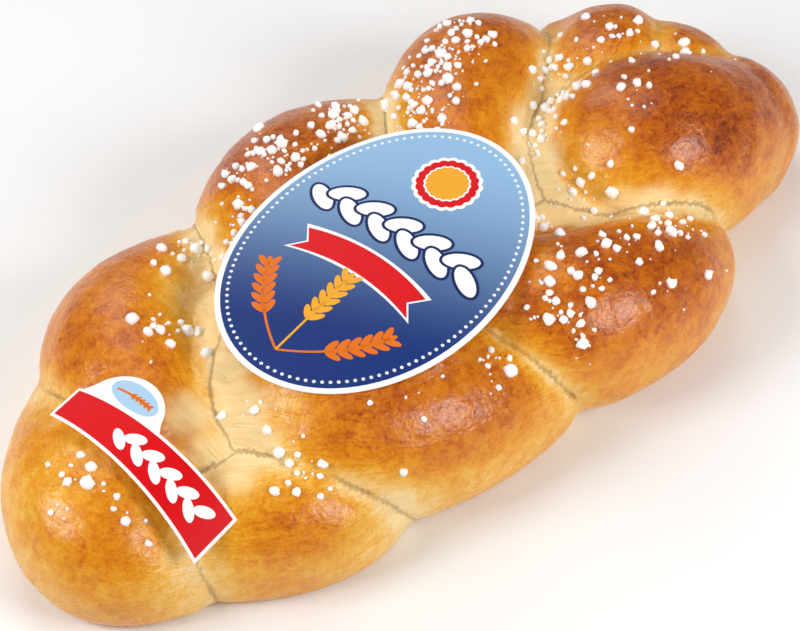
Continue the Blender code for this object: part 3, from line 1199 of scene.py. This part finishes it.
@dataclass(frozen=True)
class EarPrint(Ornament):
    """An ear of corn on a bowed stalk."""

    length: float
    bow: float
    pairs: int
    kernel: float
    lean: float = 30.0
    stem: float = 1.0 * MM
    ear_start: float = 0.42
    ear_end: float = 0.94
    middle_kernel: float = 0.8

    def build(self, label: Label, ink: InkFinish) -> Thing:
        """Print the ear in one ink.

        Args:
            label: The label that carries it.
            ink: Its colour.

        Returns:
            The piece.
        """
        rule = NodeRule(self.name, {
            "Length": self.length,
            "Bow": self.bow,
            "Pairs": self.pairs,
            "Kernel": self.kernel,
            "Lean": math.radians(self.lean),
        })
        graph, value = rule.graph, rule.value
        stalk = graph.out("GeometryNodeCurveQuadraticBezier", {
            "Resolution": 24,
            "Start": (0.0, 0.0, 0.0),
            "Middle": graph.xyz(value("Length") * 0.5, value("Bow")),
            "End": graph.xyz(value("Length")),
        })
        trim = {"Curve": stalk, "Start": self.ear_start, "End": self.ear_end}
        upper = graph.out("GeometryNodeTrimCurve", trim, mode="FACTOR")
        along = {"Curve": upper, "Count": value("Pairs")}
        points, tangent = graph.outs("GeometryNodeCurveToPoints", along)[:2]
        axes = {"axis": "X", "pivot_axis": "Z"}
        ahead = graph.out("FunctionNodeAlignRotationToVector", {"Vector": tangent}, **axes)
        kernel = graph.out("GeometryNodeTransform", {
            "Geometry": graph.disc(16),
            "Scale": (0.5, 0.2, 1.0),
            "Translation": (0.5, 0.0, 0.0),
        })
        joined = graph.add("GeometryNodeJoinGeometry")
        for side in (1.0, -1.0, 0.0):
            size = value("Kernel") * (1.0 if side else self.middle_kernel)
            row = graph.out("GeometryNodeInstanceOnPoints", {
                "Points": points,
                "Instance": kernel,
                "Rotation": ahead,
                "Scale": graph.xyz(size, size, 1.0),
            })
            fan = {"Instances": row, "Rotation": graph.xyz(z=value("Lean") * side)}
            graph.wire(joined, {0: graph.out("GeometryNodeRotateInstances", fan)})
        ends = {"Start": (-0.5 * self.stem, 0.0, 0.0), "End": (0.5 * self.stem, 0.0, 0.0)}
        width = graph.out("GeometryNodeCurvePrimitiveLine", ends)
        stem = graph.out("GeometryNodeCurveToMesh", {"Curve": stalk, "Profile Curve": width})
        graph.wire(joined, {0: stem})
        rule.finish(Flow(graph, joined.outputs[0]), ink.material(), smooth=False)
        return self.lay(label, rule)


@dataclass
class OvalLabel:
    """The large label: a blue oval with a beaded ring, a plait, a ribbon and corn ears."""

    half_length: float = 78 * MM
    half_width: float = 57 * MM
    rim: float = 2.4 * MM
    ring_inset: float = 5.2 * MM
    bead: float = 0.75 * MM
    bead_count: int = 120
    plait_edge: float = 1.3 * MM
    seal_radii: tuple = ((14.5, WHITE), (12.8, RED), (9.6, WHITE), (8.8, AMBER))
    ears: tuple = ((44.0, 7.0, ORANGE), (-44.0, -7.0, ORANGE), (0.0, 0.0, AMBER))

    def build(self) -> list[Thing]:
        """Make the sheet and its print."""
        label = Label(
            "oval_label", centre=(-26 * MM, -13 * MM), turn=12.0, crown=75.2 * MM, ridge=-6 * MM,
            bend=420 * MM, pitch=2.0, outline=oval(self.half_length, self.half_width),
        )
        plait = PlaitPrint(
            "oval_plait", place=(14 * MM, 0.0), turn=-90.0, layer=2, count=11, pitch=7.6 * MM,
            half_length=8.0 * MM, half_width=3.8 * MM, swing=3.6 * MM,
        )
        ground = oval(self.half_length - self.rim, self.half_width - self.rim)
        return [
            label.sheet(WHITE),
            label.patch("oval_field", ground, BLUE, 1),
            self.beads(label),
            plait.build(label, NAVY, self.plait_edge, 0.0),
            plait.build(label, WHITE, 0.0, plait.step_up / 2.0),
            *self.ribbons(label),
            *self.seals(label),
            *self.corn(label),
        ]

    @staticmethod
    def ribbons(label: Label) -> list[Thing]:
        """Print the red ribbon with its white edge."""
        centre = (-13 * MM, 0.0)
        edge = ribbon(centre, 33 * MM, 7.6 * MM, 5 * MM, 6 * MM)
        band = ribbon(centre, 31 * MM, 6.2 * MM, 5 * MM, 5 * MM)
        return [label.patch("oval_ribbon_edge", edge, WHITE, 2), label.patch("oval_ribbon", band, RED, 3)]

    def seals(self, label: Label) -> list[Thing]:
        """Print the rings of the scalloped seal at the light end."""
        centre = (47 * MM, 0.0)
        return [
            label.patch(f"oval_seal_{index}", seal(centre, radius * MM), ink, 2 + index)
            for index, (radius, ink) in enumerate(self.seal_radii)
        ]

    def corn(self, label: Label) -> list[Thing]:
        """Print the ears of corn that fan out from one point."""
        ears = []
        for index, (turn, bow, ink) in enumerate(self.ears):
            ear = EarPrint(
                f"oval_ear_{index}", place=(-64 * MM, 0.0), turn=turn, layer=2 + index, length=46 * MM,
                bow=bow * MM, pairs=6, kernel=7.5 * MM, lean=38.0,
            )
            ears.append(ear.build(label, ink))
        return ears

    def beads(self, label: Label) -> Thing:
        """Make the ring of small white beads inside the rim."""
        rule = NodeRule("bead_ring", {
            "Half Length": self.half_length - self.ring_inset,
            "Half Width": self.half_width - self.ring_inset,
            "Bead": self.bead,
            "Count": self.bead_count,
        })
        graph, value = rule.graph, rule.value
        circle = graph.out("GeometryNodeCurvePrimitiveCircle", {"Resolution": 128, "Radius": 1.0})
        size = graph.xyz(value("Half Length"), value("Half Width"), 1.0)
        ring = graph.out("GeometryNodeTransform", {"Geometry": circle, "Scale": size})
        spots = graph.out("GeometryNodeCurveToPoints", {"Curve": ring, "Count": value("Count")})
        bead = graph.disc(10, value("Bead"))
        beads = graph.out("GeometryNodeInstanceOnPoints", {"Points": spots, "Instance": bead})
        rule.finish(beads, BEAD_WHITE.material(), smooth=False)
        return label.layer(rule.run("oval_beads"), 2)


@dataclass
class BannerLabel:
    """The small label: a bowed red strip with a white rim and a round tab."""

    half_length: float = 44 * MM
    half_width: float = 10 * MM
    bow: float = 2.5 * MM
    flare: float = 1.8 * MM
    tab_place: float = -22 * MM
    tab_half_length: float = 18 * MM
    tab_height: float = 15 * MM
    rim: float = 1.3 * MM
    steps: int = 40

    def build(self) -> list[Thing]:
        """Make the sheet and its print."""
        label = Label(
            "banner_label", centre=(-158 * MM, -31 * MM), turn=-81.0, crown=66.0 * MM, ridge=-8 * MM,
            bend=88 * MM, pitch=8.0, outline=self.outline(0.0, True),
        )
        plait = PlaitPrint(
            "banner_plait", place=(10 * MM, 2.0 * MM), turn=-1.0, layer=2, count=10, pitch=5.0 * MM,
            half_length=4.8 * MM, half_width=2.3 * MM, swing=2.1 * MM,
        )
        middle = (self.tab_place + 1 * MM, self.half_width + 7.5 * MM)
        ear = EarPrint(
            "banner_ear", place=(middle[0] - 9 * MM, middle[1] - 1 * MM), turn=4.0, layer=2,
            length=17 * MM, bow=1 * MM, pairs=5, kernel=2.6 * MM,
        )
        return [
            label.sheet(WHITE),
            label.patch("banner_field", self.outline(self.rim, False), RED, 1),
            plait.build(label, WHITE, 0.0, 0.0),
            label.patch("banner_sky", oval(12 * MM, 5.6 * MM, middle, 48), SKY, 1),
            ear.build(label, ORANGE),
        ]

    def outline(self, inset: float, with_tab: bool) -> tuple[Point, ...]:
        """Return the strip's outline.

        Args:
            inset: How far it is drawn in.
            with_tab: Whether the round tab stands out of it.

        Returns:
            The outline's points.
        """
        lower, upper = [], []
        reach = self.half_length - inset
        for step in range(self.steps + 1):
            u = reach * (2.0 * step / self.steps - 1.0)
            bow = self.bow * (1.0 - (u / self.half_length) ** 2)
            share = 1.0 - ((u - self.tab_place) / self.tab_half_length) ** 2
            tab = self.tab_height * math.sqrt(share) if share > 0.0 and with_tab else 0.0
            half = self.half_width - inset + self.flare * u / self.half_length
            lower.append((u, bow - half))
            upper.append((u, bow + half + tab))
        return tuple(lower + upper[::-1])


@dataclass(frozen=True)
class GrainSize:
    """One size of grain: radii, how many for each grain of the patches, spacing and seed."""

    radii: Point
    share: float
    spacing: float
    seed: int


class Grain(NamedTuple):
    """One grain of sugar: its place on the crust, its radius, its turn and its three sizes."""

    place: Vector
    radius: float
    turn: tuple[float, ...]
    size: tuple[float, ...]


@dataclass
class PearlSugar:
    """Grains of pearl sugar dropped on the crust, and their finer crumbs.

    A patch has its x and y on the tray, its spread and its number of grains.
    Places on the tray and the height of the drop are in millimetres.
    """

    patches: tuple = (
        (82, 62, 7, 14), (66, 62, 8, 16), (50, 62, 6, 7), (96, 74, 5, 4), (45, 50, 6, 10),
        (46, 38, 5, 7), (60, 42, 4, 3), (-24, 64, 8, 12), (-14, 57, 10, 13), (14, 63, 7, 8),
        (22, 68, 6, 8), (-28, 48, 5, 5), (-50, 46, 7, 7), (-62, 40, 4, 3), (-40, 60, 5, 4),
        (-77, 52, 8, 7), (118, 34, 7, 9), (108, 16, 7, 8), (80, 8, 7, 7), (80, -28, 8, 7),
        (52, -28, 4, 3), (118, -16, 8, 3), (160, 10, 14, 4), (148, 35, 9, 4), (22, -58, 6, 5),
        (16, -76, 5, 6), (20, -88, 4, 4), (38, -70, 12, 6), (62, -74, 12, 7), (92, -66, 9, 7),
        (-17, -77, 5, 4), (-56, -73, 12, 3), (-108, -68, 6, 5), (-112, 16, 9, 6), (-108, -34, 8, 3),
        (-182, -20, 9, 4), (-175, -44, 5, 3),
    )
    sizes: tuple[GrainSize, ...] = (
        GrainSize((1.7 * MM, 2.7 * MM), 1.0, 1.2, 11),
        GrainSize((0.9 * MM, 1.7 * MM), 1.5, 0.85, 5),
        GrainSize((0.35 * MM, 0.8 * MM), 1.7, 0.8, 8),
    )
    drop_height: float = 200.0
    sink: float = 0.30
    margin: float = 3.5 * MM
    cube_size: float = 0.82
    roundness: float = 0.86
    roughness: float = 1.3

    def build(self, crust: Thing, labels: list[Thing]) -> Thing:
        """Drop the grains.

        Args:
            crust: The finished dough.
            labels: The sheets that no grain may touch.

        Returns:
            All grains as one piece.
        """
        skin, sheets = tree_of([crust]), tree_of(labels)
        grains: list[Grain] = []
        for size in self.sizes:
            self.drop(grains, skin, sheets, size)
        return self.scatter("sugar_grains", grains)

    def drop(self, grains: list[Grain], skin: BVHTree, sheets: BVHTree, size: GrainSize) -> None:
        """Add one size of grain to the list.

        Args:
            grains: The grains so far.
            skin: The crust.
            sheets: The labels.
            size: The size to add.
        """
        draw = random.Random(size.seed)
        full_turn = 2.0 * math.pi
        for x, y, spread, count in self.patches:
            for _ in range(round(count * size.share)):
                above = Vector((draw.gauss(x, spread), draw.gauss(y, spread), self.drop_height)) * MM
                radius = draw.uniform(*size.radii)
                shape = [draw.uniform(0.85, 1.2) for _ in range(3)]
                turn = (draw.uniform(0.0, full_turn), draw.uniform(0.0, full_turn), 0.0)
                place = skin.ray_cast(above + TRAY_SHIFT, -UP)[0]
                if place is None or self.covered(sheets, place):
                    continue
                if any((place - old.place).length < size.spacing * (radius + old.radius) for old in grains):
                    continue
                grains.append(Grain(place, radius, turn, tuple(radius * part for part in shape)))

    def covered(self, sheets: BVHTree, place: Vector) -> bool:
        """Tell whether a grain here would lie under or against a label."""
        for x, y in ((0, 0), (1, 0), (-1, 0), (0, 1), (0, -1)):
            below = Vector((place.x + x * self.margin, place.y + y * self.margin, 0.0))
            if sheets.ray_cast(below, UP)[0] is not None:
                return True
        return False

    def scatter(self, name: str, grains: list[Grain]) -> Thing:
        """Put a rough grain at every place by a node tree.

        Args:
            name: The piece's name.
            grains: The grains.

        Returns:
            The piece.
        """
        mesh = bpy.data.meshes.new(name)
        share, most = 1.0 - 2.0 * self.sink, self.sizes[0].radii[0]
        points = [grain.place + UP * (share * min(grain.radius, most)) for grain in grains]
        mesh.from_pydata(points, [], [])
        store(mesh, "turn", np.array([grain.turn for grain in grains]))
        store(mesh, "size", np.array([grain.size for grain in grains]))
        rule = NodeRule(name, {"Roundness": self.roundness, "Roughness": self.roughness, "Seed": 3.0})
        graph = rule.graph
        sides = {f"Vertices {axis}": 3 for axis in "XYZ"}
        lump = graph.out("GeometryNodeMeshCube", {"Size": (2.0, 2.0, 2.0), **sides})
        spot = graph.out("GeometryNodeInputPosition")
        ball = graph.vector("NORMALIZE", spot)
        cube = graph.vector("SCALE", spot, scale=self.cube_size)
        rounded = graph.mix(rule.value("Roundness"), cube, ball, "VECTOR")
        turn, size = (
            graph.out("GeometryNodeInputNamedAttribute", {"Name": key}, data_type="FLOAT_VECTOR")
            for key in ("turn", "size")
        )
        lumps = graph.out("GeometryNodeInstanceOnPoints", {
            "Points": rule.value("Geometry"),
            "Instance": graph.out("GeometryNodeSetPosition", {"Geometry": lump, "Position": rounded}),
            "Rotation": turn,
            "Scale": size,
        })
        real = graph.out("GeometryNodeRealizeInstances", {0: lumps})
        feeds = {"W": rule.value("Seed"), "Scale": 420.0, "Detail": 1.0}
        cloud = graph.out("ShaderNodeTexNoise", feeds, "Color", noise_dimensions="4D")
        sized = graph.vector("MULTIPLY", graph.vector("SUBTRACT", cloud, (0.5, 0.5, 0.5)), size)
        push = graph.vector("SCALE", sized, scale=rule.value("Roughness"))
        rough = graph.out("GeometryNodeSetPosition", {"Geometry": real, "Offset": push})
        rule.finish(rough, SugarFinish().material())
        return rule.run(name, mesh)


@dataclass(frozen=True)
class Softbox:
    """A square soft light, with distance and size in metres and power in watts.

    Its side is in degrees to the right of the camera, seen from above, and its
    height in degrees above the floor.
    """

    name: str
    side: float
    height: float
    away: float
    size: float
    power: float


@dataclass
class Studio:
    """Camera, floor and soft lights."""

    turn: float = 39.25
    tilt: float = 50.0
    distance: float = 0.956
    target: Vector = field(default_factory=lambda: Vector((-0.0149, -0.0144, 0.0274)) + TRAY_SHIFT)
    lens: float = 100.0
    sensor: float = 36.0
    daylight: float = 0.21
    softboxes: tuple[Softbox, ...] = (
        Softbox("left_softbox", -68.0, 40.0, 1.15, 0.48, 7.0),
        Softbox("right_softbox", 62.0, 34.0, 1.15, 0.48, 7.8),
        Softbox("back_softbox", -156.0, 38.0, 1.30, 0.60, 3.2),
        Softbox("top_softbox", -165.0, 68.0, 1.40, 0.70, 2.8),
    )

    def build(self) -> None:
        """Set up everything that isn't the loaf."""
        self.camera()
        self.floor()
        for softbox in self.softboxes:
            self.light(softbox)
        world = bpy.data.worlds.new("studio")
        world.use_nodes = True
        background = world.node_tree.nodes["Background"]
        background.inputs["Color"].default_value = (1.0, 1.0, 1.0, 1.0)
        background.inputs["Strength"].default_value = self.daylight
        bpy.context.scene.world = world
        bpy.context.scene.view_settings.view_transform = "Standard"

    @staticmethod
    def gaze(turn: float, tilt: float) -> Vector:
        """Return the direction of a look down on the loaf, turned and tilted by degrees."""
        turn, tilt = math.radians(turn), math.radians(tilt)
        return Vector((math.sin(turn) * math.cos(tilt), math.cos(turn) * math.cos(tilt), -math.sin(tilt)))

    def camera(self) -> None:
        """Place the camera at the photograph's angle."""
        ahead = self.gaze(self.turn, self.tilt)
        lens = bpy.data.cameras.new("camera")
        lens.lens = self.lens
        lens.sensor_width = self.sensor
        lens.clip_start = 0.01
        thing = linked("camera", lens)
        thing.location = self.target - self.distance * ahead
        thing.rotation_euler = ahead.to_track_quat("-Z", "Y").to_euler()
        bpy.context.scene.camera = thing

    def light(self, softbox: Softbox) -> None:
        """Add a softbox that shines on the loaf."""
        ahead = self.gaze(self.turn - softbox.side, softbox.height)
        lamp = bpy.data.lights.new(softbox.name, "AREA")
        lamp.shape = "SQUARE"
        lamp.size = softbox.size
        lamp.energy = softbox.power
        thing = linked(softbox.name, lamp)
        thing.location = self.target - softbox.away * ahead
        thing.rotation_euler = (-ahead).to_track_quat("Z", "Y").to_euler()

    @staticmethod
    def floor() -> None:
        """Lay a pale floor."""
        form = bmesh.new()
        bmesh.ops.create_grid(form, x_segments=1, y_segments=1, size=4.0)
        thing = mesh_object("floor", form)
        material, graph, shader = new_material("floor")
        graph.wire(shader, {"Base Color": (0.92, 0.92, 0.92, 1.0), "Roughness": 0.9})
        thing.data.materials.append(material)


def adopt(thing: Thing, node: str) -> None:
    """Make a piece ride on the loaf and stand for a solid.

    Args:
        thing: The piece.
        node: The solid that it stands for.
    """
    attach(thing, "root")
    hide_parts(node)
    LOG.info("%s: %d faces", thing.name, len(thing.data.polygons))


def main() -> None:
    """Build every piece in order."""
    logging.basicConfig(level=logging.INFO, format="%(name)s: %(message)s")
    Studio().build()
    oval_pieces = OvalLabel().build()
    banner_pieces = BannerLabel().build()
    for thing in oval_pieces + banner_pieces:
        thing.data.transform(Matrix.Translation(TRAY_SHIFT))
    sheets = [oval_pieces[0], banner_pieces[0]]
    crust = Dough().build(sheets)
    crust.data.materials.append(CrustFinish().material())
    adopt(crust, "loaf")
    for thing in oval_pieces:
        adopt(thing, "oval_label")
    for thing in banner_pieces:
        adopt(thing, "banner_label")
    adopt(PearlSugar().build(crust, sheets), "loaf")


if __name__ == "__main__":
    main()
